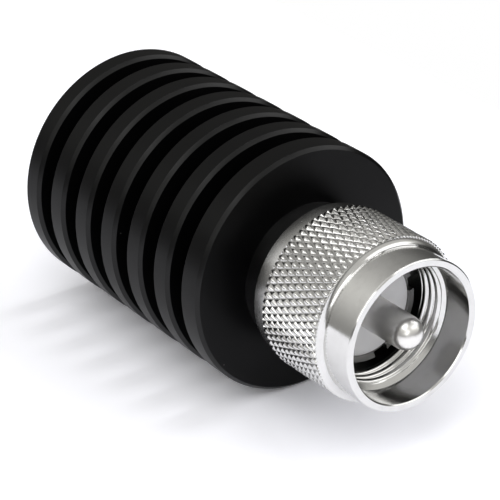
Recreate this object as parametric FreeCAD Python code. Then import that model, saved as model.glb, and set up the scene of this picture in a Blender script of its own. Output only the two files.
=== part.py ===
import FreeCAD, Part

import math
import os

# RF dummy load: a finned heat sink that carries a UHF plug. All sizes are in millimetres.
# Every turned piece has its axis on Z. The heat sink's rear face is z = 0, and the plug points up.

# Heat sink: disc fins on a core, with a boss in front for the plug
FIN_COUNT = 7
FIN_RADIUS = 15.0
FIN_THICKNESS = 3.0
FRONT_FIN_THICKNESS = 3.4
FIN_PITCH = 5.5
FIN_EDGE_CHAMFER = 0.4
CORE_RADIUS = 9.8
BOSS_RADIUS = 8.3
BOSS_LENGTH = 2.9
BOSS_CHAMFER = 0.2

# Coupling nut: 5/8-24 thread, diamond knurl, smooth tube in front and smooth band behind
NUT_LENGTH = 16.4
NUT_TUBE_RADIUS = 9.05
NUT_TUBE_LENGTH = 4.2
NUT_MOUTH_CHAMFER = 0.15
NUT_SHOULDER_STEP = 0.22
NUT_SHOULDER_SLOPE = 0.4
NUT_BAND_STEP = 0.27
NUT_BAND_TAPER = 0.2
NUT_BAND_LENGTH = 2.3
NUT_BAND_CHAMFER = 0.2
NUT_COUNTERBORE_RADIUS = 8.1
NUT_COUNTERBORE_DEPTH = 4.0
NUT_THREAD_RADIUS = 7.4
NUT_THREAD_LENGTH = 3.7
NUT_THREAD_LEAD = 0.6
NUT_RELIEF_RADIUS = 8.0
NUT_LIP_THICKNESS = 2.0

# Knurl: rows of raised pyramids, each row shifted by half a pyramid from the next
KNURL_CREST_RADIUS = 10.0
KNURL_DEPTH = 0.28
KNURL_AROUND = 68
KNURL_ROWS = 9

# Connector body: notched rim, barrel, flange that holds the nut, neck and threaded shank
RIM_SETBACK = 7.4
RIM_NOTCHES = 4
RIM_NOTCH_WIDTH = 1.8
RIM_NOTCH_DEPTH = 0.9
RIM_NOTCH_ANGLE = 61.3
BARREL_RADIUS = 6.25
FLANGE_RADIUS = 7.3
FLANGE_THICKNESS = 1.7
NECK_RADIUS = 6.5
SHANK_RADIUS = 5.6
SHANK_LENGTH = 8.0
SHANK_CHAMFER = 0.4
AIR_LINE_RADIUS = 3.45

# Contact and insulators
FRONT_INSULATOR_RADIUS = 5.6
FRONT_INSULATOR_SETBACK = 0.4
FRONT_INSULATOR_LENGTH = 5.0
REAR_INSULATOR_RADIUS = 4.4
REAR_INSULATOR_LENGTH = 2.5
PIN_RADIUS = 1.98
PIN_PROTRUSION = 0.7
PIN_SHOULDER_GAP = 0.15
PIN_WAIST_RADIUS = 1.75
PIN_COLLAR_RADIUS = 2.6
PIN_COLLAR_LENGTH = 1.0
PIN_TAIL_RADIUS = 1.5
PIN_TAIL_PROTRUSION = 1.2
PIN_SOCKET_RADIUS = 0.8
PIN_SOCKET_DEPTH = 3.2

# Resistor stack in the heat sink's bore
ROD_RADIUS = 3.0
ROD_LENGTH = 17.5
CAP_RADIUS = 3.4
CAP_DEPTH = 2.0
CAP_END_WALL = 0.8
CAP_STEM_LENGTH = 2.8
SLEEVE_RADIUS = 4.9
SPRING_DISCS = 4
SPRING_DISC_BORE_RADIUS = 1.9
SPRING_DISC_THICKNESS = 0.4
SPRING_DISC_CUP = 0.3
SPIGOT_LENGTH = 1.2
POCKET_RADIUS = 3.6

# Clearances
NUT_RUNNING_FIT = 0.06
NUT_END_PLAY = 0.1
BORE_END_GAP = 0.3
CAP_GAP = 0.3
SLEEVE_CAP_GAP = 0.25
SPIGOT_GAP = 0.1
DISC_EDGE_GAP = 0.1

# How far a found edge may be from the radius or level that is looked for
EDGE_MATCH = 1e-6

# Levels along the axis, worked out from the sizes above
front_face_z = (FIN_COUNT - 1) * FIN_PITCH + FRONT_FIN_THICKNESS
boss_z = front_face_z + BOSS_LENGTH
nut_rear_z = boss_z + NUT_END_PLAY
nut_front_z = nut_rear_z + NUT_LENGTH
lip_z = nut_rear_z + NUT_LIP_THICKNESS
flange_rear_z = lip_z + NUT_END_PLAY
flange_front_z = flange_rear_z + FLANGE_THICKNESS
rim_z = nut_front_z - RIM_SETBACK
shank_end_z = boss_z - SHANK_LENGTH

front_insulator_top_z = rim_z - FRONT_INSULATOR_SETBACK
front_insulator_foot_z = front_insulator_top_z - FRONT_INSULATOR_LENGTH
collar_foot_z = front_insulator_foot_z - PIN_COLLAR_LENGTH
rear_insulator_top_z = shank_end_z + REAR_INSULATOR_LENGTH
pin_tail_z = shank_end_z - PIN_TAIL_PROTRUSION
pin_tip_z = nut_front_z + PIN_PROTRUSION

front_cap_face_z = pin_tail_z - CAP_GAP
rod_top_z = front_cap_face_z - CAP_END_WALL
rod_foot_z = rod_top_z - ROD_LENGTH
rear_cap_face_z = rod_foot_z - CAP_END_WALL
sleeve_foot_z = rod_foot_z + CAP_DEPTH + SLEEVE_CAP_GAP
sleeve_top_z = rod_top_z - CAP_DEPTH - SLEEVE_CAP_GAP
disc_height = SPRING_DISC_THICKNESS + SPRING_DISC_CUP
spring_foot_z = rear_cap_face_z - SPRING_DISCS * disc_height

knurl_root_radius = KNURL_CREST_RADIUS - KNURL_DEPTH
nut_band_radius = knurl_root_radius - NUT_BAND_STEP
nut_band_front_radius = nut_band_radius - NUT_BAND_TAPER
nut_shoulder_radius = knurl_root_radius - NUT_SHOULDER_STEP
neck_bore_radius = NECK_RADIUS + NUT_RUNNING_FIT


def point(radius, z):
    return FreeCAD.Vector(radius, 0, z)


def line(start, end):
    return Part.makeLine(point(*start), point(*end))


def outline(corners):
    """Closed profile of straight edges through (radius, z) corners."""
    corner_points = [point(*corner) for corner in corners]
    return Part.makePolygon(corner_points + [corner_points[0]])


def turned(wire):
    """Solid made by turning a closed profile about Z."""
    solid = Part.Face(wire).revolve(FreeCAD.Vector(0, 0, 0), FreeCAD.Vector(0, 0, 1), 360)
    return Part.Solid(solid) if solid.ShapeType == "Shell" else solid


def turned_skin(corners):
    """Open surface made by turning an open profile about Z."""
    wire = Part.makePolygon([point(*corner) for corner in corners])
    return wire.revolve(FreeCAD.Vector(0, 0, 0), FreeCAD.Vector(0, 0, 1), 360).Faces


def cylinder(radius, bottom, top):
    return Part.makeCylinder(radius, top - bottom, FreeCAD.Vector(0, 0, bottom))


def tube(outer_radius, inner_radius, bottom, top):
    return turned(outline([
        (inner_radius, bottom),
        (outer_radius, bottom),
        (outer_radius, top),
        (inner_radius, top),
    ]))


def circle_edges(shape, radius, levels):
    """Full-circle edges of a shape that have this radius at one of these levels."""
    found = []
    for edge in shape.Edges:
        curve = edge.Curve
        if isinstance(curve, Part.Circle) and abs(curve.Radius - radius) < EDGE_MATCH:
            if any(abs(curve.Center.z - level) < EDGE_MATCH for level in levels):
                found.append(edge)
    return found


def fin_levels():
    """Bottom and top of each fin, from the rear one to the thicker front one."""
    levels = []
    for index in range(FIN_COUNT):
        bottom = index * FIN_PITCH
        thickness = FRONT_FIN_THICKNESS if index == FIN_COUNT - 1 else FIN_THICKNESS
        levels.append((bottom, bottom + thickness))
    return levels


def make_heat_sink():
    """Core, fins and boss turned as one piece, then bored from the front."""
    levels = fin_levels()
    sink = cylinder(CORE_RADIUS, 0, front_face_z)
    for bottom, top in levels:
        sink = sink.fuse(cylinder(FIN_RADIUS, bottom, top))
    sink = sink.fuse(cylinder(BOSS_RADIUS, front_face_z, boss_z)).removeSplitter()

    ends = [level for pair in levels for level in pair]
    rim_edges = circle_edges(sink, FIN_RADIUS, ends)
    sink = sink.makeChamfer(FIN_EDGE_CHAMFER, rim_edges)
    sink = sink.makeChamfer(BOSS_CHAMFER, circle_edges(sink, BOSS_RADIUS, [boss_z]))

    shank_hole_z = shank_end_z - BORE_END_GAP
    shank_hole = cylinder(SHANK_RADIUS, shank_hole_z, boss_z)
    sleeve_bore = cylinder(SLEEVE_RADIUS, sleeve_foot_z, shank_hole_z)
    pocket = cylinder(POCKET_RADIUS, spring_foot_z, sleeve_foot_z)
    return sink.cut(shank_hole.fuse([sleeve_bore, pocket])).Solids[0]


def knurl_point(radius, step, z):
    """Point on the knurl, with step counted in half pyramids round the nut."""
    angle = math.pi * step / KNURL_AROUND
    return FreeCAD.Vector(radius * math.cos(angle), radius * math.sin(angle), z)


def facet(*corners):
    return Part.Face(Part.makePolygon(list(corners) + [corners[0]]))


def knurl_cell(step, foot_z, height):
    """Four facets between one row's crest and the next row's crest, half a pyramid round."""
    top_z = foot_z + height
    low_crest = knurl_point(KNURL_CREST_RADIUS, step, foot_z)
    low_root = knurl_point(knurl_root_radius, step + 1, foot_z)
    low_last_root = knurl_point(knurl_root_radius, step - 1, foot_z)
    high_root = knurl_point(knurl_root_radius, step, top_z)
    high_crest = knurl_point(KNURL_CREST_RADIUS, step + 1, top_z)
    high_next_root = knurl_point(knurl_root_radius, step + 2, top_z)
    return [
        facet(low_last_root, low_crest, high_root),
        facet(low_crest, low_root, high_root),
        facet(high_root, low_root, high_crest),
        facet(low_root, high_next_root, high_crest),
    ]


def knurl_end(row_z, far_z, shift):
    """Facets of a row cut off halfway to where the next row would be, and the cut's outline."""
    facets = []
    cut = []
    for index in range(KNURL_AROUND):
        step = 2 * index + shift
        crest = knurl_point(KNURL_CREST_RADIUS, step, row_z)
        root = knurl_point(knurl_root_radius, step + 1, row_z)
        last_root = knurl_point(knurl_root_radius, step - 1, row_z)
        far_root = knurl_point(knurl_root_radius, step, far_z)
        far_crest = knurl_point(KNURL_CREST_RADIUS, step + 1, far_z)
        far_next_root = knurl_point(knurl_root_radius, step + 2, far_z)
        groove_before = (last_root + far_root) * 0.5
        ridge = (crest + far_root) * 0.5
        groove = (root + far_root) * 0.5
        next_ridge = (root + far_crest) * 0.5
        next_groove = (root + far_next_root) * 0.5
        facets.append(facet(last_root, crest, ridge, groove_before))
        facets.append(facet(crest, root, groove, ridge))
        facets.append(facet(root, next_ridge, groove))
        facets.append(facet(root, next_groove, next_ridge))
        cut.extend([ridge, groove, next_ridge, next_groove])
    return facets, Part.makePolygon(cut + [cut[0]])


def ring_face(outer_wire, radius, z):
    """Flat face between an outline and the circle inside it."""
    inner = Part.Wire(Part.makeCircle(radius, FreeCAD.Vector(0, 0, z)))
    return Part.makeFace([outer_wire, inner], "Part::FaceMakerBullseye")


def make_coupling_nut():
    """Turned skin closed by the knurl: both share the circles at the knurl's ends."""
    knurl_rear_z = nut_rear_z + NUT_BAND_LENGTH
    slope_z = nut_front_z - NUT_TUBE_LENGTH
    knurl_front_z = slope_z - NUT_SHOULDER_SLOPE
    counterbore_z = nut_front_z - NUT_COUNTERBORE_DEPTH
    thread_end_z = counterbore_z - NUT_THREAD_LENGTH
    skin = turned_skin([
        (nut_shoulder_radius, knurl_front_z),
        (NUT_TUBE_RADIUS, slope_z),
        (NUT_TUBE_RADIUS, nut_front_z - NUT_MOUTH_CHAMFER),
        (NUT_TUBE_RADIUS - NUT_MOUTH_CHAMFER, nut_front_z),
        (NUT_COUNTERBORE_RADIUS + NUT_MOUTH_CHAMFER, nut_front_z),
        (NUT_COUNTERBORE_RADIUS, nut_front_z - NUT_MOUTH_CHAMFER),
        (NUT_COUNTERBORE_RADIUS, counterbore_z),
        (NUT_THREAD_RADIUS, counterbore_z - NUT_THREAD_LEAD),
        (NUT_THREAD_RADIUS, thread_end_z),
        (NUT_RELIEF_RADIUS, thread_end_z),
        (NUT_RELIEF_RADIUS, lip_z),
        (neck_bore_radius, lip_z),
        (neck_bore_radius, nut_rear_z),
        (nut_band_radius - NUT_BAND_CHAMFER, nut_rear_z),
        (nut_band_radius, nut_rear_z + NUT_BAND_CHAMFER),
        (nut_band_front_radius, knurl_rear_z),
    ])

    row_height = (knurl_front_z - knurl_rear_z) / KNURL_ROWS
    first_row_z = knurl_rear_z + row_height / 2
    last_row_z = knurl_front_z - row_height / 2
    facets = []
    for row in range(KNURL_ROWS - 1):
        for index in range(KNURL_AROUND):
            step = 2 * index + row % 2
            facets.extend(knurl_cell(step, first_row_z + row * row_height, row_height))
    rear_facets, rear_outline = knurl_end(first_row_z, first_row_z - row_height, 0)
    last_shift = (KNURL_ROWS - 1) % 2
    front_facets, front_outline = knurl_end(last_row_z, last_row_z + row_height, last_shift)
    rear_ring = ring_face(rear_outline, nut_band_front_radius, knurl_rear_z)
    front_ring = ring_face(front_outline, nut_shoulder_radius, knurl_front_z)

    shell = Part.makeCompound(skin + facets + rear_facets + front_facets + [rear_ring, front_ring])
    shell.sewShape()
    return Part.makeSolid(Part.Shell(shell.Faces))


def make_connector_body():
    """Barrel, flange, neck and shank turned as one piece, bored through and notched at the rim."""
    body = turned(outline([
        (FRONT_INSULATOR_RADIUS, rim_z),
        (BARREL_RADIUS, rim_z),
        (BARREL_RADIUS, flange_front_z),
        (FLANGE_RADIUS, flange_front_z),
        (FLANGE_RADIUS, flange_rear_z),
        (NECK_RADIUS, flange_rear_z),
        (NECK_RADIUS, boss_z),
        (SHANK_RADIUS, boss_z),
        (SHANK_RADIUS, shank_end_z + SHANK_CHAMFER),
        (SHANK_RADIUS - SHANK_CHAMFER, shank_end_z),
        (REAR_INSULATOR_RADIUS, shank_end_z),
        (REAR_INSULATOR_RADIUS, rear_insulator_top_z),
        (AIR_LINE_RADIUS, rear_insulator_top_z),
        (AIR_LINE_RADIUS, front_insulator_foot_z),
        (FRONT_INSULATOR_RADIUS, front_insulator_foot_z),
    ]))
    for index in range(RIM_NOTCHES):
        notch = Part.makeBox(BARREL_RADIUS, RIM_NOTCH_WIDTH, RIM_NOTCH_DEPTH)
        notch.translate(FreeCAD.Vector(PIN_RADIUS, -RIM_NOTCH_WIDTH / 2, rim_z - RIM_NOTCH_DEPTH))
        angle = RIM_NOTCH_ANGLE + index * 360 / RIM_NOTCHES
        notch.rotate(FreeCAD.Vector(0, 0, 0), FreeCAD.Vector(0, 0, 1), angle)
        body = body.cut(notch)
    return body.Solids[0]


def make_front_insulator():
    return tube(
        FRONT_INSULATOR_RADIUS, PIN_WAIST_RADIUS, front_insulator_foot_z, front_insulator_top_z)


def make_rear_insulator():
    return tube(REAR_INSULATOR_RADIUS, PIN_TAIL_RADIUS, shank_end_z, rear_insulator_top_z)


def make_centre_pin():
    """Round-nosed pin with a waist that the front insulator grips, a collar and a tail socket."""
    nose_z = pin_tip_z - PIN_RADIUS
    shoulder_z = front_insulator_top_z + PIN_SHOULDER_GAP
    nose_middle = point(PIN_RADIUS * math.sqrt(0.5), nose_z + PIN_RADIUS * math.sqrt(0.5))
    nose = Part.Arc(point(PIN_RADIUS, nose_z), nose_middle, point(0, pin_tip_z)).toShape()
    socket_z = pin_tail_z + PIN_SOCKET_DEPTH
    corners = [
        (0, pin_tip_z),
        (0, socket_z),
        (PIN_SOCKET_RADIUS, socket_z),
        (PIN_SOCKET_RADIUS, pin_tail_z),
        (PIN_TAIL_RADIUS, pin_tail_z),
        (PIN_TAIL_RADIUS, collar_foot_z),
        (PIN_COLLAR_RADIUS, collar_foot_z),
        (PIN_COLLAR_RADIUS, front_insulator_foot_z),
        (PIN_WAIST_RADIUS, front_insulator_foot_z),
        (PIN_WAIST_RADIUS, shoulder_z),
        (PIN_RADIUS, shoulder_z),
        (PIN_RADIUS, nose_z),
    ]
    edges = [line(start, end) for start, end in zip(corners, corners[1:])]
    return turned(Part.Wire(edges + [nose]))


def make_resistor_rod():
    return cylinder(ROD_RADIUS, rod_foot_z, rod_top_z)


def make_front_end_cap():
    """Cup over the rod's front end, with a stem that fills the socket of the pin."""
    skirt_z = rod_top_z - CAP_DEPTH
    stem_top_z = front_cap_face_z + CAP_STEM_LENGTH
    return turned(outline([
        (0, rod_top_z),
        (ROD_RADIUS, rod_top_z),
        (ROD_RADIUS, skirt_z),
        (CAP_RADIUS, skirt_z),
        (CAP_RADIUS, front_cap_face_z),
        (PIN_SOCKET_RADIUS, front_cap_face_z),
        (PIN_SOCKET_RADIUS, stem_top_z),
        (0, stem_top_z),
    ]))


def make_rear_end_cap():
    """Cup over the rod's earthed end, with a spigot that centres the spring discs."""
    skirt_z = rod_foot_z + CAP_DEPTH
    spigot_radius = SPRING_DISC_BORE_RADIUS - SPIGOT_GAP
    spigot_z = rear_cap_face_z - SPIGOT_LENGTH
    return turned(outline([
        (0, rod_foot_z),
        (ROD_RADIUS, rod_foot_z),
        (ROD_RADIUS, skirt_z),
        (CAP_RADIUS, skirt_z),
        (CAP_RADIUS, rear_cap_face_z),
        (spigot_radius, rear_cap_face_z),
        (spigot_radius, spigot_z),
        (0, spigot_z),
    ]))


def make_ceramic_sleeve():
    return tube(SLEEVE_RADIUS, ROD_RADIUS, sleeve_foot_z, sleeve_top_z)


def spring_disc(foot_z, opens_up):
    """Cupped washer, its rim at the bottom, or turned over with its rim at the top."""
    rim_radius = POCKET_RADIUS - DISC_EDGE_GAP
    rim_z = foot_z + SPRING_DISC_CUP if opens_up else foot_z
    bore_z = foot_z if opens_up else foot_z + SPRING_DISC_CUP
    return turned(outline([
        (SPRING_DISC_BORE_RADIUS, bore_z),
        (rim_radius, rim_z),
        (rim_radius, rim_z + SPRING_DISC_THICKNESS),
        (SPRING_DISC_BORE_RADIUS, bore_z + SPRING_DISC_THICKNESS),
    ]))


def make_ground_spring():
    """Stack of disc springs between the bottom of the pocket and the rear cap."""
    discs = []
    for index in range(SPRING_DISCS):
        discs.append(spring_disc(spring_foot_z + index * disc_height, index % 2 == 0))
    return Part.makeCompound(discs)


def make_pieces():
    """Every piece of the dummy load by its name."""
    return {
        "heat_sink": make_heat_sink(),
        "connector_body": make_connector_body(),
        "coupling_nut": make_coupling_nut(),
        "front_insulator": make_front_insulator(),
        "centre_pin": make_centre_pin(),
        "rear_insulator": make_rear_insulator(),
        "resistor_rod": make_resistor_rod(),
        "front_end_cap": make_front_end_cap(),
        "rear_end_cap": make_rear_end_cap(),
        "ceramic_sleeve": make_ceramic_sleeve(),
        "ground_spring": make_ground_spring(),
    }


def main():
    os.makedirs("parts", exist_ok=True)
    for name, shape in make_pieces().items():
        shape.exportStep(os.path.join("parts", name + ".step"))
        print(name, shape.ShapeType, shape.isValid(), round(shape.Volume, 3), shape.BoundBox)


main()
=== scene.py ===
import math
import random

import bmesh
import bpy
from mathutils import Matrix, Vector


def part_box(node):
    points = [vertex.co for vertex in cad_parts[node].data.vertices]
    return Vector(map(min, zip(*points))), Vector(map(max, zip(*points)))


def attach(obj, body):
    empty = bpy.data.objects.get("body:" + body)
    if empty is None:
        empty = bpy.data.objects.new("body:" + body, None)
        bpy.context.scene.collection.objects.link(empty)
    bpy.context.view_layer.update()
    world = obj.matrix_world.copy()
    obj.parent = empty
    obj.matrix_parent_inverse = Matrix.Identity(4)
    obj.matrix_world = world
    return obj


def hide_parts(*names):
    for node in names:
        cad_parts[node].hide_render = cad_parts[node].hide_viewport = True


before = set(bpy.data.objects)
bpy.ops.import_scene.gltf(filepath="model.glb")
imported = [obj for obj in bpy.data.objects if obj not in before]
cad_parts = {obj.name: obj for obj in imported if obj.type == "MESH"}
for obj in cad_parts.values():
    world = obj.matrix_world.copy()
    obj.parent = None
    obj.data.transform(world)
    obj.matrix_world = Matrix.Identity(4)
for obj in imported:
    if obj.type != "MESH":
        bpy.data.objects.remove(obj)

bl_info = {
    "name": "RF Dummy Load",
    "version": (1, 0, 0),
    "blender": (4, 5, 0),
    "location": "3D View > Sidebar > Dummy Load",
    "description": "Builds the looks of a finned dummy load and its knurled plug",
    "category": "Object",
}

MM = 0.001
TURN = 2 * math.pi
WELD = 0.0005 * MM
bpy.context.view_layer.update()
sink_low, sink_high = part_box("heat_sink")
nut_low, nut_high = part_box("coupling_nut")


# Properties that a user would change

def length(name, description, metres):
    return bpy.props.FloatProperty(
        name=name, description=description, default=metres, min=0.0, precision=6, unit="LENGTH")


def count(name, description, number):
    return bpy.props.IntProperty(name=name, description=description, default=number, min=1)


def share(name, description, value):
    return bpy.props.FloatProperty(
        name=name, description=description, default=value, min=0.0, max=1.0, subtype="FACTOR")


def level(name, description, value):
    return bpy.props.FloatProperty(name=name, description=description, default=value, min=0.0)


def colour(name, description, red, green, blue):
    return bpy.props.FloatVectorProperty(
        name=name, description=description, default=(red, green, blue),
        min=0.0, max=1.0, subtype="COLOR")


class SinkSizes(bpy.types.PropertyGroup):
    fin_count: count("Fins", "Disc fins on the core", 7)
    fin_radius: length("Fin radius", "Radius of every fin", sink_high.y)
    fin_thickness: length("Fin thickness", "Thickness of all fins but the front one", 3.0 * MM)
    front_thickness: length("Front fin", "Thickness of the front fin", 3.4 * MM)
    fin_pitch: length("Fin pitch", "From one fin's rear face to the next", 5.5 * MM)
    fin_chamfer: length("Fin chamfer", "Chamfer at both edges of a fin's rim", 0.4 * MM)
    core_radius: length("Core radius", "Radius between the fins", 9.8 * MM)
    boss_radius: length("Boss radius", "Radius of the boss behind the nut", 8.3 * MM)
    boss_chamfer: length("Boss chamfer", "Chamfer at the boss's front edge", 0.2 * MM)
    shank_radius: length("Plug hole", "Radius of the hole for the plug's shank", 5.6 * MM)
    shank_hole_z: length("Plug hole floor", "Height of the plug hole's floor", 31.0 * MM)
    bore_radius: length("Bore", "Radius of the bore for the ceramic sleeve", 4.9 * MM)
    bore_z: length("Bore floor", "Height of the sleeve bore's floor", 13.75 * MM)
    pocket_radius: length("Pocket", "Radius of the pocket for the springs", 3.6 * MM)
    pocket_z: length("Pocket floor", "Height of the spring pocket's floor", 7.9 * MM)
    edge_round: length("Edge rounding", "Rounding of every turned edge", 0.07 * MM)
    segments: count("Segments", "Flats round the heat sink", 240)


class NutSizes(bpy.types.PropertyGroup):
    tube_radius: length("Tube radius", "Radius of the smooth front tube", 9.05 * MM)
    tube_length: length("Tube length", "Length of the smooth front tube", 4.2 * MM)
    mouth_chamfer: length("Mouth chamfer", "Chamfer inside and outside the mouth", 0.15 * MM)
    shoulder_step: length("Shoulder step", "Knurl groove to shoulder", 0.12 * MM)
    shoulder_slope: length("Shoulder slope", "Length of the sloped shoulder", 0.49 * MM)
    shoulder_round: length("Shoulder rounding", "Hollow rounding where the slope meets the tube", 0.12 * MM)
    band_step: length("Band step", "Knurl groove to the rear edge of the band", 0.27 * MM)
    band_taper: length("Band taper", "How much thinner the band is at the knurl", 0.2 * MM)
    band_length: length("Band length", "Length of the smooth rear band", 2.3 * MM)
    band_chamfer: length("Band chamfer", "Chamfer at the rear edge", 0.2 * MM)
    counterbore_radius: length("Counterbore", "Radius of the plain bore in front", 8.1 * MM)
    counterbore_depth: length("Counterbore depth", "Depth of the plain bore", 4.0 * MM)
    relief_radius: length("Relief", "Radius of the groove behind the thread", 8.0 * MM)
    lip_thickness: length("Lip", "Thickness of the rear lip", 2.0 * MM)
    neck_radius: length("Neck bore", "Radius of the hole in the rear lip", 6.56 * MM)
    edge_round: length("Edge rounding", "Rounding of every turned edge", 0.05 * MM)
    knurl_radius: length("Knurl radius", "Radius over the knurl's crests", nut_high.x)
    knurl_depth: length("Knurl depth", "Crest to groove", 0.28 * MM)
    knurl_around: count("Knurl round", "Pyramids in one row", 68)
    knurl_rows: count("Knurl rows", "Rows of pyramids along the nut", 9)
    knurl_flat: share("Knurl flat", "Share of each pyramid that its flat crest takes", 0.34)
    knurl_wear: length("Knurl wear", "How much the crests differ in height", 0.03 * MM)
    thread_radius: length("Thread radius", "Radius over the thread's crests", 7.4 * MM)
    thread_pitch: length("Thread pitch", "From one thread groove to the next", 1.058 * MM)
    thread_depth: length("Thread depth", "Crest to root", 0.36 * MM)
    thread_length: length("Thread length", "Length of the threaded stretch", 3.7 * MM)
    thread_lead: length("Thread lead-in", "Length of the cone in front of the thread", 0.4 * MM)
    thread_start: share("Thread start", "Share of a pitch by which the thread is turned", 0.22)
    flats_per_pyramid: count("Flats", "Flats of the turned faces for each pyramid", 4)


class FinishColours(bpy.types.PropertyGroup):
    anodised: colour("Anodised", "Black anodised aluminium", 0.0006, 0.0006, 0.0008)
    dust: colour("Dust", "Dust specks on the black", 0.16, 0.16, 0.16)
    nickel: colour("Nickel", "Nickel plate", 0.69, 0.688, 0.68)
    nickel_dull: colour("Nickel, dull", "Nickel plate where it is handled", 0.60, 0.595, 0.585)
    contact: colour("Contact", "Satin plate of the pin", 0.80, 0.79, 0.77)
    insulator: colour("Insulator", "Pale waxy plastic", 0.90, 0.90, 0.925)
    ceramic: colour("Ceramic", "Unglazed white ceramic", 0.86, 0.86, 0.84)
    film: colour("Film", "Resistor film", 0.06, 0.06, 0.065)
    tinned: colour("Tinned", "Tinned brass caps", 0.62, 0.62, 0.60)
    steel: colour("Steel", "Disc springs", 0.52, 0.52, 0.53)


class StageSettings(bpy.types.PropertyGroup):
    lens: level("Lens", "Focal length in millimetres on a 36 mm sensor", 168.33)
    camera_place: bpy.props.FloatVectorProperty(
        name="Camera", description="Place of the camera", unit="LENGTH", subtype="TRANSLATION",
        default=(189.35 * MM, 15.61 * MM, 224.10 * MM))
    camera_turn: bpy.props.FloatVectorProperty(
        name="Camera turn", description="Turn of the camera about X, Y and Z", unit="ROTATION",
        subtype="EULER", default=(-0.46950, -0.63132, -2.35619))
    floor_left: length("Floor to the left", "From the load's axis to the left edge", 120 * MM)
    floor_right: length("Floor to the right", "From the load's axis to the right edge", 72 * MM)
    floor_reach: length("Floor", "From the load's middle to the floor's other edges", 600 * MM)
    floor_tone: colour("Floor colour", "White floor", 0.86, 0.865, 0.915)
    floor_gain: level("Floor gain", "How much whiter the floor is to the camera", 0.44)
    mirrored_gain: level("Mirrored gain", "How much whiter the floor is where metal mirrors it", 0.45)
    room_tone: colour("Room", "Light from the room's back left, high up", 0.78, 0.77, 0.735)
    shade: share("Shade", "Light from the room's front right, as a share of the back left's", 0.10)
    low_light: share("Low light", "Light from the room near the floor, as a share", 0.42)
    front_light: level("Front light", "Light from the room in front of the plug's end", 0.85)


class LoadSettings(bpy.types.PropertyGroup):
    sink: bpy.props.PointerProperty(type=SinkSizes)
    nut: bpy.props.PointerProperty(type=NutSizes)
    colours: bpy.props.PointerProperty(type=FinishColours)
    stage: bpy.props.PointerProperty(type=StageSettings)


# Mesh making

# An eased corner bends by at most so much a chord, and takes at most this share of each side
CHORD_DEGREES = 15
LONGEST_SETBACK = 0.4


def eased(profile, radius):
    """Profile with a small curve in place of each corner, and its two ends as they were.

    A point's third value, if it has one, is the radius at that corner."""
    rounded = [profile[0]]
    for before, corner, after in zip(profile, profile[1:], profile[2:]):
        bend = corner[2] if len(corner) > 2 else radius
        before, corner, after = (Vector(point[:2]) for point in (before, corner, after))
        into, out = corner - before, after - corner
        turn = into.angle(out)
        longest = LONGEST_SETBACK * min(into.length, out.length)
        setback = min(bend * math.tan(turn / 2), longest)
        start, end = corner - into.normalized() * setback, corner + out.normalized() * setback
        chords = math.ceil(turn / math.radians(CHORD_DEGREES))
        for step in range(chords + 1):
            along = step / chords
            middle = start.lerp(corner, along).lerp(corner.lerp(end, along), along)
            rounded.append(tuple(middle))
    return rounded + [profile[-1]]


def polar(mesh, radius, angle, height):
    """Vertex given by its radius and angle about Z."""
    return mesh.verts.new((radius * math.cos(angle), radius * math.sin(angle), height))


def ring(mesh, radius, height, segments):
    """One ring of vertices about Z, or one vertex where the radius is nothing."""
    if radius == 0.0:
        return [polar(mesh, radius, 0.0, height)]
    return [polar(mesh, radius, TURN * step / segments, height) for step in range(segments)]


def skin(mesh, first, second):
    """Faces between two rings of the same count, or between a ring and a single vertex."""
    steps = max(len(first), len(second))
    for step in range(steps):
        after = (step + 1) % steps
        if len(first) == 1:
            corners = (first[0], second[after], second[step])
        elif len(second) == 1:
            corners = (first[step], first[after], second[0])
        else:
            corners = (first[step], first[after], second[after], second[step])
        mesh.faces.new(corners)


def lathe(mesh, profile, segments):
    """Rings through the (radius, height) points of a profile, skinned one to the next."""
    rings = [ring(mesh, radius, height, segments) for radius, height in profile]
    for first, second in zip(rings, rings[1:]):
        skin(mesh, first, second)
    return rings


def finished_piece(context, mesh, name, materials, sharp_degrees):
    """Object made of a welded mesh, smooth but for its sharp edges, in the scene."""
    bmesh.ops.remove_doubles(mesh, verts=mesh.verts, dist=WELD)
    bmesh.ops.recalc_face_normals(mesh, faces=mesh.faces)
    for face in mesh.faces:
        face.smooth = True
    for edge in mesh.edges:
        if edge.is_manifold and edge.calc_face_angle() > math.radians(sharp_degrees):
            edge.smooth = False
    data = bpy.data.meshes.new(name)
    mesh.to_mesh(data)
    mesh.free()
    for material in materials:
        data.materials.append(material)
    piece = bpy.data.objects.new(name, data)
    context.scene.collection.objects.link(piece)
    weighted = piece.modifiers.new("Even shading", "WEIGHTED_NORMAL")
    weighted.keep_sharp = True
    return piece


# Shader maths

class Wire:
    """A socket whose arithmetic adds Math nodes to its tree."""

    def __init__(self, finish, socket):
        self.finish = finish
        self.socket = socket

    def maths(self, operation, *values):
        return self.finish.node("ShaderNodeMath", {"operation": operation}, dict(enumerate(values)))

    def __add__(self, other):
        return self.maths("ADD", self, other)

    def __sub__(self, other):
        return self.maths("SUBTRACT", self, other)

    def __rsub__(self, other):
        return self.maths("SUBTRACT", other, self)

    def __mul__(self, other):
        return self.maths("MULTIPLY", self, other)

    def __pow__(self, other):
        return self.maths("POWER", self, other)

    __radd__ = __add__
    __rmul__ = __mul__

    def root(self):
        return self.maths("SQRT", self)

    def ramp(self, start, end, low=0.0, high=1.0, kind="SMOOTHSTEP"):
        """Step from low at start to high at end, smooth or straight."""
        return self.finish.node(
            "ShaderNodeMapRange", {"interpolation_type": kind},
            {"Value": self, "From Min": start, "From Max": end, "To Min": low, "To Max": high})


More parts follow.
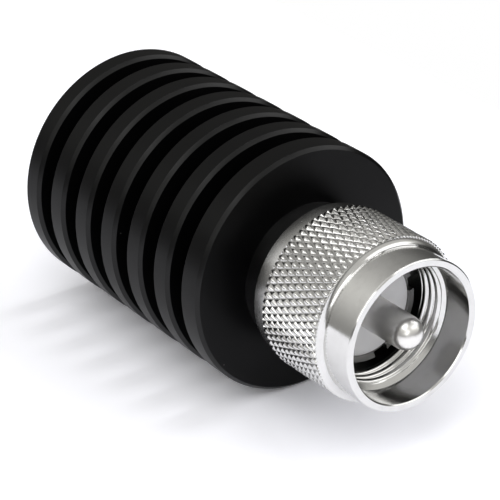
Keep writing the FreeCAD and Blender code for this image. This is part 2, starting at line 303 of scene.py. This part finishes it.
class Finish:
    """Node tree of a material or a world that is being built."""

    def __init__(self, owner):
        owner.use_nodes = True
        self.owner = owner
        self.tree = owner.node_tree
        self.tree.nodes.clear()

    def node(self, kind, settings=None, values=None, output=0):
        """Adds a node, makes its settings, then sets or links its sockets."""
        node = self.tree.nodes.new(kind)
        for key, setting in (settings or {}).items():
            setattr(node, key, setting)
        for key, value in (values or {}).items():
            if isinstance(value, Wire):
                self.tree.links.new(value.socket, node.inputs[key])
            else:
                node.inputs[key].default_value = value
        return Wire(self, node.outputs[output]) if node.outputs else None

    def place(self):
        """Place on the object in millimetres."""
        metres = self.node("ShaderNodeTexCoord", output="Object")
        return self.node("ShaderNodeVectorMath", {"operation": "SCALE"}, {0: metres, "Scale": 1 / MM})

    def part(self, vector, axis):
        """X, Y or Z of a vector."""
        return self.node("ShaderNodeSeparateXYZ", None, {0: vector}, axis)

    def cosine(self, direction, aim):
        """Cosine of the angle between a direction and a fixed aim."""
        return self.node(
            "ShaderNodeVectorMath", {"operation": "DOT_PRODUCT"}, {0: direction, 1: aim}, "Value")

    def noise(self, vector, scale, detail=2.0, roughness=0.5):
        return self.node(
            "ShaderNodeTexNoise", None,
            {"Vector": vector, "Scale": scale, "Detail": detail, "Roughness": roughness})

    def cells(self, vector, scale, output="Distance"):
        """Cells with a spot in each: the distance from the spot, or the cell's own colour."""
        return self.node("ShaderNodeTexVoronoi", None, {"Vector": vector, "Scale": scale}, output)

    def turning_marks(self, place, scale, detail=2.0):
        """Noise that changes only with the radius and along Z."""
        x, y, z = (self.part(place, axis) for axis in "XYZ")
        path = (x * x + y * y).root() + z
        return self.node(
            "ShaderNodeTexNoise", {"noise_dimensions": "1D"},
            {"W": path * scale, "Scale": 1.0, "Detail": detail})

    def mix(self, share_of_second, first, second):
        """Mix of two colours, by the numbers that the node gives its colour sockets."""
        values = {0: share_of_second, 6: first, 7: second}
        return self.node("ShaderNodeMix", {"data_type": "RGBA"}, values, output=2)

    def bump(self, height, strength, distance_mm, normal=None):
        values = {"Strength": strength, "Distance": distance_mm * MM, "Height": height}
        if normal:
            values["Normal"] = normal
        return self.node("ShaderNodeBump", None, values)

    def surface(self, **values):
        """Principled shader on the output, with sockets named in words."""
        sockets = {key.replace("_", " "): value for key, value in values.items()}
        shader = self.node("ShaderNodeBsdfPrincipled", None, sockets)
        self.node("ShaderNodeOutputMaterial", None, {"Surface": shader})


# Turning marks run round the axis, and blur what a surface mirrors across them
ACROSS_THE_MARKS = 0.25
# Specks and pits fade from nothing to full between these distances from a cell's spot
SPOT_EDGE = (0.05, 0.02)
# Cells whose own number is over this share hold a speck of dust
DUSTY_CELLS = (0.70, 0.72)
# Between these heights in millimetres the pin turns from satin shank to polished nose
SATIN_UP_TO, POLISHED_FROM = 54.2, 55.4


def opaque(rgb):
    return (*rgb, 1.0)


def scaled(rgb, factor):
    return tuple(part * factor for part in rgb)


def make_anodised(colours, name, gloss):
    """Black anodised aluminium: turning marks, a fine grain and a little dust."""
    finish = Finish(bpy.data.materials.new(name))
    place = finish.place()
    marks = finish.turning_marks(place, 7.0, detail=3.0)
    grain = finish.noise(place, 9.0, detail=3.0, roughness=0.65)
    patches = finish.noise(place, 0.16)
    cell_colour = finish.cells(place, 0.42, "Color")
    dusty = finish.node("ShaderNodeSeparateColor", None, {0: cell_colour}).ramp(*DUSTY_CELLS)
    dust = finish.cells(place, 0.42).ramp(*SPOT_EDGE) * dusty
    tone = finish.mix(dust, opaque(colours.anodised), opaque(colours.dust))
    relief = finish.bump(marks, 0.05, 0.02, finish.bump(grain, 0.05, 0.02))
    finish.surface(
        Base_Color=tone,
        Roughness=patches * 0.10 + marks * 0.06 + 0.25,
        Specular_IOR_Level=gloss,
        Anisotropic=0.75,
        Anisotropic_Rotation=ACROSS_THE_MARKS,
        Normal=relief,
    )
    return finish.owner


def make_nickel(colours, name, roughness, streak=0.0, tone=1.0):
    """Nickel plate: turning marks, faint smudges and a few tiny pits.

    Streak is how far its highlights are drawn out across the marks, and tone is how bright
    it is, as a share of clean plate. A tone under one darkens the plate as painted shade."""
    finish = Finish(bpy.data.materials.new(name))
    place = finish.place()
    marks = finish.turning_marks(place, 16.0, detail=3.0)
    smudges = finish.noise(place, 0.45, detail=4.0, roughness=0.6).ramp(0.40, 0.72)
    grain = finish.noise(place, 14.0)
    pits = finish.cells(place, 0.8).ramp(*SPOT_EDGE)
    clean = opaque(scaled(colours.nickel, tone))
    dull = opaque(scaled(colours.nickel_dull, tone))
    relief = finish.bump(marks, 0.06, 0.01, finish.bump(grain, 0.06, 0.01))
    finish.surface(
        Base_Color=finish.mix(smudges * 0.55 + pits * 0.4, clean, dull),
        Metallic=1.0,
        Roughness=smudges * 0.06 + marks * 0.05 + pits * 0.2 + roughness,
        Anisotropic=streak,
        Anisotropic_Rotation=ACROSS_THE_MARKS,
        Normal=relief,
    )
    return finish.owner


def make_contact(colours):
    """Satin plate with lines round the pin, brighter where the nose is polished."""
    finish = Finish(bpy.data.materials.new("Contact plate"))
    place = finish.place()
    marks = finish.turning_marks(place, 22.0)
    smudges = finish.noise(place, 1.1, detail=3.0, roughness=0.6)
    shank = finish.part(place, "Z").ramp(POLISHED_FROM, SATIN_UP_TO)
    relief = finish.bump(marks * shank, 0.10, 0.01)
    tone = finish.mix(smudges * shank * 0.5, opaque(colours.contact), opaque(colours.nickel_dull))
    finish.surface(
        Base_Color=tone,
        Metallic=1.0,
        Roughness=smudges * shank * 0.05 + 0.30,
        Normal=relief,
    )
    return finish.owner


def make_insulator(colours):
    """Pale waxy plastic with faint cutting rings."""
    finish = Finish(bpy.data.materials.new("Pale plastic"))
    place = finish.place()
    rings = finish.turning_marks(place, 5.0, detail=3.0)
    clouds = finish.noise(place, 0.8, detail=3.0)
    shade = scaled(colours.insulator, 0.93)
    finish.surface(
        Base_Color=finish.mix(clouds * 0.8, opaque(colours.insulator), opaque(shade)),
        Roughness=clouds * 0.12 + 0.38,
        Subsurface_Weight=0.12,
        Subsurface_Radius=(0.4, 0.4, 0.5),
        Subsurface_Scale=1.0 * MM,
        Normal=finish.bump(rings, 0.08, 0.02),
    )
    return finish.owner


def make_turned_metal(name, rgb, roughness):
    """Plain turned or stamped metal for the pieces inside."""
    finish = Finish(bpy.data.materials.new(name))
    place = finish.place()
    marks = finish.turning_marks(place, 12.0, detail=3.0)
    stains = finish.noise(place, 0.7, detail=4.0).ramp(0.35, 0.75)
    dull = scaled(rgb, 0.75)
    finish.surface(
        Base_Color=finish.mix(stains * 0.6, opaque(rgb), opaque(dull)),
        Metallic=1.0,
        Roughness=marks * 0.1 + stains * 0.1 + roughness,
        Normal=finish.bump(marks, 0.1, 0.01),
    )
    return finish.owner


def make_mineral(name, rgb, roughness, grain_scale):
    """Ceramic body or fired film, with a grain."""
    finish = Finish(bpy.data.materials.new(name))
    grain = finish.noise(finish.place(), grain_scale, detail=4.0, roughness=0.6)
    shade = scaled(rgb, 0.85)
    finish.surface(
        Base_Color=finish.mix(grain, opaque(rgb), opaque(shade)),
        Roughness=grain * 0.15 + roughness,
        Normal=finish.bump(grain, 0.15, 0.02),
    )
    return finish.owner


def dress_node(name, material):
    """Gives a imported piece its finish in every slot."""
    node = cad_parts[name]
    for slot in node.material_slots:
        slot.material = material


# Profiles of the turned pieces, as (radius, height)

def heat_sink_profile(sizes):
    """Half section of the heat sink, from the middle of the rear face round to the pocket's floor."""
    rim, cut = sizes.fin_radius, sizes.fin_chamfer
    profile = [(0.0, sink_low.z)]
    for index in range(sizes.fin_count):
        rear = sink_low.z + index * sizes.fin_pitch
        last = index == sizes.fin_count - 1
        front = rear + (sizes.front_thickness if last else sizes.fin_thickness)
        if index > 0:
            profile.append((sizes.core_radius, rear))
        profile += [(rim - cut, rear), (rim, rear + cut), (rim, front - cut), (rim - cut, front)]
        profile.append((sizes.boss_radius if last else sizes.core_radius, front))
    top = sink_high.z
    return profile + [
        (sizes.boss_radius, top - sizes.boss_chamfer),
        (sizes.boss_radius - sizes.boss_chamfer, top),
        (sizes.shank_radius, top),
        (sizes.shank_radius, sizes.shank_hole_z),
        (sizes.bore_radius, sizes.shank_hole_z),
        (sizes.bore_radius, sizes.bore_z),
        (sizes.pocket_radius, sizes.bore_z),
        (sizes.pocket_radius, sizes.pocket_z),
        (0.0, sizes.pocket_z),
    ]


class NutLevels:
    """Heights and radii of the nut that follow from its sizes."""

    def __init__(self, sizes):
        self.rear = nut_low.z
        self.front = nut_high.z
        self.root = sizes.knurl_radius - sizes.knurl_depth
        self.band = self.root - sizes.band_step
        self.shoulder = self.root - sizes.shoulder_step
        self.knurl_rear = self.rear + sizes.band_length
        self.slope = self.front - sizes.tube_length
        self.knurl_front = self.slope - sizes.shoulder_slope
        self.row = (self.knurl_front - self.knurl_rear) / sizes.knurl_rows
        self.thread_top = self.front - sizes.counterbore_depth
        self.thread_foot = self.thread_top - sizes.thread_length
        self.lip = self.rear + sizes.lip_thickness


def nut_front_profile(sizes, levels):
    """From the knurl's front end over the tube and the mouth to the thread's lead-in."""
    edge = sizes.mouth_chamfer
    return [
        (levels.shoulder, levels.knurl_front),
        (sizes.tube_radius, levels.slope, sizes.shoulder_round),
        (sizes.tube_radius, levels.front - edge),
        (sizes.tube_radius - edge, levels.front),
        (sizes.counterbore_radius + edge, levels.front),
        (sizes.counterbore_radius, levels.front - edge),
        (sizes.counterbore_radius, levels.thread_top),
    ]


def nut_rear_profile(sizes, levels):
    """From the groove behind the thread through the lip to the knurl's rear end."""
    edge = sizes.band_chamfer
    return [
        (sizes.relief_radius, levels.thread_foot),
        (sizes.relief_radius, levels.lip),
        (sizes.neck_radius, levels.lip),
        (sizes.neck_radius, levels.rear),
        (levels.band - edge, levels.rear),
        (levels.band, levels.rear + edge),
        (levels.band - sizes.band_taper, levels.knurl_rear),
    ]


# Knurl and thread

WEAR_SEED = 68


def step_round(vertex, segments):
    """Which of the segments round the axis a vertex stands at."""
    return round(math.atan2(vertex.co.y, vertex.co.x) / TURN * segments) % segments


def add_pyramid(mesh, sizes, levels, angle, height, wear):
    """One pyramid with a small flat crest, its base corners on the grooves."""
    half_turn = math.pi / sizes.knurl_around
    base = [(angle - half_turn, height), (angle, height - levels.row),
            (angle + half_turn, height), (angle, height + levels.row)]
    flat = sizes.knurl_flat + wear / sizes.knurl_depth
    roots = [polar(mesh, levels.root, turn, z) for turn, z in base]
    crown = [
        polar(mesh, sizes.knurl_radius - wear,
              angle + (turn - angle) * flat, height + (z - height) * flat)
        for turn, z in base
    ]
    mesh.faces.new(crown)
    for side in range(4):
        after = (side + 1) % 4
        mesh.faces.new((roots[side], roots[after], crown[after], crown[side]))


def add_knurl(mesh, sizes, levels, segments):
    """Rows of pyramids, each half a pyramid on from the last, cut flat at both ends of the knurl.

    Gives the rings of vertices at the two cuts."""
    chance = random.Random(WEAR_SEED)
    for row in range(-1, sizes.knurl_rows + 1):
        height = levels.knurl_rear + (row + 0.5) * levels.row
        for index in range(sizes.knurl_around):
            angle = math.pi * (2 * index + row % 2) / sizes.knurl_around
            wear = sizes.knurl_wear * chance.random() ** 2
            add_pyramid(mesh, sizes, levels, angle, height, wear)
    bmesh.ops.remove_doubles(mesh, verts=mesh.verts, dist=WELD)
    rings = []
    for cut, outwards in ((levels.knurl_rear, -1), (levels.knurl_front, 1)):
        bmesh.ops.bisect_plane(
            mesh, geom=[*mesh.verts, *mesh.edges, *mesh.faces], dist=WELD,
            plane_co=(0, 0, cut), plane_no=(0, 0, outwards), clear_outer=True)
        ends = [vertex for vertex in mesh.verts if abs(vertex.co.z - cut) < WELD]
        rings.append(sorted(ends, key=lambda vertex: step_round(vertex, segments)))
    return rings


def thread_height(phase):
    """How far the thread stands back from its crest, as a share of its depth."""
    crest_end, root_start, root_end = 0.42, 0.66, 0.74
    if phase < crest_end:
        return 0.0
    if phase < root_start:
        return (phase - crest_end) / (root_start - crest_end)
    if phase < root_end:
        return 1.0
    return (1.0 - phase) / (1.0 - root_end)


def add_thread(mesh, sizes, levels, segments):
    """Right-handed thread on a grid that follows the helix, with a cone in front.

    Where the grid is cut off at both ends, faces that shrink to nothing are left out."""
    rows_per_pitch = 16
    pitch = sizes.thread_pitch
    rows = math.ceil((sizes.thread_length / pitch + 1) * rows_per_pitch) + 1
    widest = sizes.counterbore_radius
    rings = []
    for row in range(rows):
        line = []
        for step in range(segments + 1):
            turns = step / segments
            rise = row / rows_per_pitch - 1 + turns
            height = min(max(levels.thread_foot + rise * pitch, levels.thread_foot), levels.thread_top)
            phase = ((height - levels.thread_foot) / pitch - turns + sizes.thread_start) % 1.0
            radius = sizes.thread_radius + sizes.thread_depth * thread_height(phase)
            into_lead = (height - levels.thread_top) / sizes.thread_lead + 1
            cone = sizes.thread_radius + (widest - sizes.thread_radius) * into_lead
            line.append(polar(mesh, max(radius, cone), TURN * turns, height))
        rings.append(line)
    for first, second in zip(rings, rings[1:]):
        for step in range(segments):
            corners = (first[step], first[step + 1], second[step + 1], second[step])
            apart = sum((a.co - b.co).length > WELD for a, b in zip(corners, corners[1:] + corners[:1]))
            if apart > 2:
                mesh.faces.new(corners)
    return rings[0][:-1]


# Operators: one for each piece or group of pieces, and one for the stage

SATIN, CHAMFERED, GLOSSY = 0, 1, 2
# A chamfer's faces lean along the axis by more than a rim's faces and by less than a flat's
RIM_LEAN, FLAT_LEAN = 0.3, 0.95


class DUMMYLOAD_OT_heat_sink(bpy.types.Operator):
    """Turn the finned heat sink and give it its black finish"""
    bl_idname = "dummyload.heat_sink"
    bl_label = "Heat sink"
    bl_options = {"REGISTER", "UNDO"}

    def execute(self, context):
        settings = context.scene.dummy_load
        sizes = settings.sink
        mesh = bmesh.new()
        lathe(mesh, eased(heat_sink_profile(sizes), sizes.edge_round), sizes.segments)
        front_face = sink_low.z + (sizes.fin_count - 1) * sizes.fin_pitch + sizes.front_thickness
        for face in mesh.faces:
            face.normal_update()
            middle = face.calc_center_median()
            sloped = RIM_LEAN < abs(face.normal.z) < FLAT_LEAN
            if middle.z > front_face + sizes.edge_round:
                face.material_index = GLOSSY
            elif sloped and middle.xy.length > sizes.core_radius:
                face.material_index = CHAMFERED
            else:
                face.material_index = SATIN
        finishes = (
            make_anodised(settings.colours, "Black anodised, satin", gloss=0.12),
            make_anodised(settings.colours, "Black anodised, chamfered", gloss=0.28),
            make_anodised(settings.colours, "Black anodised, glossy", gloss=0.52))
        piece = finished_piece(context, mesh, "finned_heat_sink", finishes, sharp_degrees=40)
        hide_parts("heat_sink")
        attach(piece, "load")
        return {"FINISHED"}


# The nut's first finish, in slot 0, is on its tube and its thread. The band's and the bore's finishes are
# nickel darkened as painted shade
KNURLED, TURNED_AND_SHADED, BORED_AND_SHADED = 1, 2, 3


class DUMMYLOAD_OT_coupling_nut(bpy.types.Operator):
    """Build the coupling nut with its diamond knurl and its thread"""
    bl_idname = "dummyload.coupling_nut"
    bl_label = "Coupling nut"
    bl_options = {"REGISTER", "UNDO"}

    def execute(self, context):
        settings = context.scene.dummy_load
        sizes = settings.nut
        levels = NutLevels(sizes)
        segments = sizes.knurl_around * sizes.flats_per_pyramid
        mesh = bmesh.new()
        rear_cut, front_cut = add_knurl(mesh, sizes, levels, segments)
        # Only a flat crest's own edges are smooth, so the pyramids' sides stay crisp
        half_way_up = levels.root + sizes.knurl_depth / 2
        for edge in mesh.edges:
            edge.smooth = all(corner.co.xy.length > half_way_up for corner in edge.verts)
        for face in mesh.faces:
            face.material_index = KNURLED
        front = lathe(mesh, eased(nut_front_profile(sizes, levels), sizes.edge_round), segments)
        rear = lathe(mesh, eased(nut_rear_profile(sizes, levels), sizes.edge_round), segments)
        for vertex in (corner for line in rear for corner in line):
            if vertex.co.xy.length > levels.band - sizes.band_taper - sizes.edge_round:
                for face in vertex.link_faces:
                    face.material_index = TURNED_AND_SHADED
        for face in mesh.faces:
            if face.calc_center_median().xy.length < sizes.counterbore_radius + sizes.edge_round:
                face.material_index = BORED_AND_SHADED
        thread_end = add_thread(mesh, sizes, levels, segments)
        skin(mesh, front_cut, front[0])
        skin(mesh, rear[-1], rear_cut)
        skin(mesh, thread_end, rear[0])
        finishes = (
            make_nickel(settings.colours, "Nickel plate", roughness=0.09),
            make_nickel(settings.colours, "Nickel plate, knurled", roughness=0.16),
            # The band's plate is darkened to 0.7 of clean nickel: painted shade for the black fins that it
            # mirrors
            make_nickel(settings.colours, "Nickel plate, turned", roughness=0.20, streak=0.4, tone=0.7),
            # The bore's plate is darkened a little: painted shade inside the nut
            make_nickel(settings.colours, "Nickel plate, bored", roughness=0.11, tone=0.82))
        piece = finished_piece(context, mesh, "knurled_nut", finishes, sharp_degrees=60)
        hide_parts("coupling_nut")
        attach(piece, "nut")
        return {"FINISHED"}


class DUMMYLOAD_OT_plug(bpy.types.Operator):
    """Finish the plug's body, insulators and contact pin"""
    bl_idname = "dummyload.plug"
    bl_label = "Plug"
    bl_options = {"REGISTER", "UNDO"}

    def execute(self, context):
        colours = context.scene.dummy_load.colours
        # The body's plate is rougher and darkened to about a third of clean nickel; the darkening is
        # painted shade inside the nut
        painted_shade = make_nickel(colours, "Nickel plate, aged", roughness=0.28, tone=0.32)
        dress_node("connector_body", painted_shade)
        dress_node("centre_pin", make_contact(colours))
        plastic = make_insulator(colours)
        dress_node("front_insulator", plastic)
        dress_node("rear_insulator", plastic)
        return {"FINISHED"}


class DUMMYLOAD_OT_resistor(bpy.types.Operator):
    """Finish the resistor, its caps, its sleeve and its springs"""
    bl_idname = "dummyload.resistor"
    bl_label = "Resistor"
    bl_options = {"REGISTER", "UNDO"}

    def execute(self, context):
        colours = context.scene.dummy_load.colours
        tinned = make_turned_metal("Tinned brass", colours.tinned, roughness=0.3)
        steel = make_turned_metal("Spring steel", colours.steel, roughness=0.25)
        film = make_mineral("Resistor film", colours.film, roughness=0.4, grain_scale=3.0)
        ceramic = make_mineral("White ceramic", colours.ceramic, roughness=0.55, grain_scale=5.0)
        dress_node("front_end_cap", tinned)
        dress_node("rear_end_cap", tinned)
        dress_node("ground_spring", steel)
        dress_node("resistor_rod", film)
        dress_node("ceramic_sleeve", ceramic)
        return {"FINISHED"}


# The stage. The load stands on its rear face and the camera sees it lying on its side, so the
# floor is upright here. Directions on the stage are given by height over the floor and by bearing
# from the camera's left, turning through the plug's end.

FLOOR_UP = Vector((1, -1, 0)).normalized()
STAGE_LEFT = Vector((1, 1, 0)).normalized()
PLUG_END = Vector((0, 0, 1))
STAGE_MIDDLE = Vector((0, 0, 32 * MM))
LAMP_DISTANCE = 600 * MM

# The room's light. Each fade is a pair of cosines, between which the light grows.
BRIGHT_SIDE_BEARING = -43
BRIGHT_SIDE_FADE = (-0.8, 0.75)
HEIGHT_FADE = (-0.08, 0.64)
FRONT_FADE = (0.15, 0.50)
FRONT_HEIGHT_FADE = (0.05, 0.22)
LOW_FRONT_LIGHT = 0.25
BLACK, WHITE = (0, 0, 0, 1), (1, 1, 1, 1)


def stage_direction(height_degrees, bearing_degrees):
    height, bearing = math.radians(height_degrees), math.radians(bearing_degrees)
    level_part = STAGE_LEFT * math.cos(bearing) + PLUG_END * math.sin(bearing)
    return FLOOR_UP * math.sin(height) + level_part * math.cos(height)


def add_softbox(context, name, first, last, width_degrees, brightness):
    """Area lamp that faces the load.

    It reaches from the first to the last (height, bearing). Its width is an angle as seen
    from the load. Its brightness is that of its face, so a larger one gives more light."""
    start, end = stage_direction(*first), stage_direction(*last)
    lamp = bpy.data.lights.new(name, "AREA")
    lamp.shape = "RECTANGLE"
    lamp.size = (end - start).length * LAMP_DISTANCE
    lamp.size_y = 2 * math.tan(math.radians(width_degrees / 2)) * LAMP_DISTANCE
    lamp.energy = brightness * math.pi * lamp.size * lamp.size_y
    holder = bpy.data.objects.new(name, lamp)
    towards = (start + end).normalized()
    along = (end - start).normalized()
    axes = Matrix((along, towards.cross(along), towards)).transposed()
    holder.matrix_world = Matrix.Translation(STAGE_MIDDLE + towards * LAMP_DISTANCE) @ axes.to_4x4()
    holder.visible_camera = False
    context.scene.collection.objects.link(holder)


def make_floor_finish(stage):
    """White floor, whiter to the camera and where it is mirrored, and clear to a camera behind it."""
    finish = Finish(bpy.data.materials.new("White floor"))
    clouds = finish.noise(finish.place(), 0.02)
    shade = scaled(stage.floor_tone, 0.97)
    tone = finish.mix(clouds, opaque(stage.floor_tone), opaque(shade))
    seen = finish.node("ShaderNodeLightPath", output="Is Camera Ray")
    mirrored = finish.node("ShaderNodeLightPath", output="Is Glossy Ray")
    gain = seen * stage.floor_gain + mirrored * stage.mirrored_gain + 1.0
    shown_tone = finish.node("ShaderNodeVectorMath", {"operation": "SCALE"}, {0: tone, "Scale": gain})
    front = finish.node("ShaderNodeBsdfDiffuse", None, {"Color": shown_tone})
    behind = finish.node("ShaderNodeNewGeometry", output="Backfacing")
    clear = finish.node("ShaderNodeBsdfTransparent")
    shown = finish.node("ShaderNodeMixShader", None, {0: behind * seen, 1: front, 2: clear})
    finish.node("ShaderNodeOutputMaterial", None, {"Surface": shown})
    return finish.owner


def add_floor(context, stage):
    """Floor that touches the fins' rims, wider on the left."""
    middle = STAGE_MIDDLE - FLOOR_UP * sink_high.x
    left, right, reach = stage.floor_left, stage.floor_right, stage.floor_reach
    corners = [
        middle + STAGE_LEFT * across + PLUG_END * along
        for across, along in ((-right, -reach), (left, -reach), (left, reach), (-right, reach))
    ]
    data = bpy.data.meshes.new("floor")
    data.from_pydata(corners, [], [(0, 1, 2, 3)])
    floor = bpy.data.objects.new("floor", data)
    context.scene.collection.objects.link(floor)
    data.materials.append(make_floor_finish(stage))


def make_room(context, stage):
    """Soft room light, from the back left and high up and from in front of the plug's end.

    The camera sees plain white instead."""
    world = bpy.data.worlds.new("Room")
    context.scene.world = world
    finish = Finish(world)
    direction = finish.node("ShaderNodeTexCoord", output="Generated")
    back_left = finish.cosine(direction, stage_direction(0, BRIGHT_SIDE_BEARING))
    upwards = finish.cosine(direction, FLOOR_UP)
    forwards = finish.cosine(direction, PLUG_END)
    side = back_left.ramp(*BRIGHT_SIDE_FADE, kind="LINEAR") ** 2.0 * (1.0 - stage.shade) + stage.shade
    behind = side * upwards.ramp(*HEIGHT_FADE, stage.low_light, 1.0)
    in_front = upwards.ramp(*FRONT_HEIGHT_FADE, LOW_FRONT_LIGHT, stage.front_light)
    front = forwards.ramp(*FRONT_FADE)
    brightness = front * in_front + behind * (1.0 - front)
    room = finish.mix(brightness, BLACK, opaque(stage.room_tone))
    seen = finish.node("ShaderNodeLightPath", output="Is Camera Ray")
    shown = finish.mix(seen, room, WHITE)
    light = finish.node("ShaderNodeBackground", None, {"Color": shown, "Strength": 1.0})
    finish.node("ShaderNodeOutputWorld", None, {"Surface": light})


def add_camera(context, stage):
    lens = bpy.data.cameras.new("camera")
    lens.sensor_width = 36.0
    lens.lens = stage.lens
    lens.clip_start = 0.01
    lens.clip_end = 10.0
    camera = bpy.data.objects.new("camera", lens)
    camera.location = stage.camera_place
    camera.rotation_euler = stage.camera_turn
    context.scene.collection.objects.link(camera)
    context.scene.camera = camera


class DUMMYLOAD_OT_stage(bpy.types.Operator):
    """Set the floor, the lamps, the room light and the camera"""
    bl_idname = "dummyload.stage"
    bl_label = "Stage"
    bl_options = {"REGISTER", "UNDO"}

    def execute(self, context):
        stage = context.scene.dummy_load.stage
        context.scene.view_settings.view_transform = "Standard"
        add_floor(context, stage)
        make_room(context, stage)
        add_softbox(context, "right", (20, 175), (66, 175), width_degrees=24, brightness=2.0)
        add_softbox(context, "high right", (70, 187), (87, 238), width_degrees=6, brightness=9.5)
        add_softbox(context, "high front left", (42, 35), (84, 35), width_degrees=30, brightness=2.1)
        add_softbox(context, "left", (34, -38), (34, -4), width_degrees=26, brightness=1.8)
        add_softbox(context, "right front", (22, 160), (44.5, 97), width_degrees=22, brightness=1.1)
        add_softbox(context, "left front", (9, 52), (37, 74), width_degrees=14, brightness=1.8)
        add_camera(context, stage)
        return {"FINISHED"}


OPERATORS = (
    DUMMYLOAD_OT_heat_sink,
    DUMMYLOAD_OT_coupling_nut,
    DUMMYLOAD_OT_plug,
    DUMMYLOAD_OT_resistor,
    DUMMYLOAD_OT_stage,
)


class DUMMYLOAD_PT_panel(bpy.types.Panel):
    """Sizes and colours of the dummy load, and a button for each operator"""
    bl_idname = "DUMMYLOAD_PT_panel"
    bl_label = "Dummy Load"
    bl_space_type = "VIEW_3D"
    bl_region_type = "UI"
    bl_category = "Dummy Load"

    def draw(self, context):
        settings = context.scene.dummy_load
        for operator in OPERATORS:
            self.layout.operator(operator.bl_idname)
        for title, group in (("Heat sink", settings.sink), ("Nut", settings.nut),
                             ("Colours", settings.colours), ("Stage", settings.stage)):
            box = self.layout.box()
            box.label(text=title)
            for name in group.__annotations__:
                box.prop(group, name)


CLASSES = (
    SinkSizes, NutSizes, FinishColours, StageSettings, LoadSettings, *OPERATORS, DUMMYLOAD_PT_panel,
)


def register():
    for cls in CLASSES:
        bpy.utils.register_class(cls)
    bpy.types.Scene.dummy_load = bpy.props.PointerProperty(type=LoadSettings)


def unregister():
    del bpy.types.Scene.dummy_load
    for cls in reversed(CLASSES):
        bpy.utils.unregister_class(cls)


def main():
    register()
    bpy.ops.dummyload.heat_sink()
    bpy.ops.dummyload.coupling_nut()
    bpy.ops.dummyload.plug()
    bpy.ops.dummyload.resistor()
    bpy.ops.dummyload.stage()


if __name__ == "__main__":
    main()
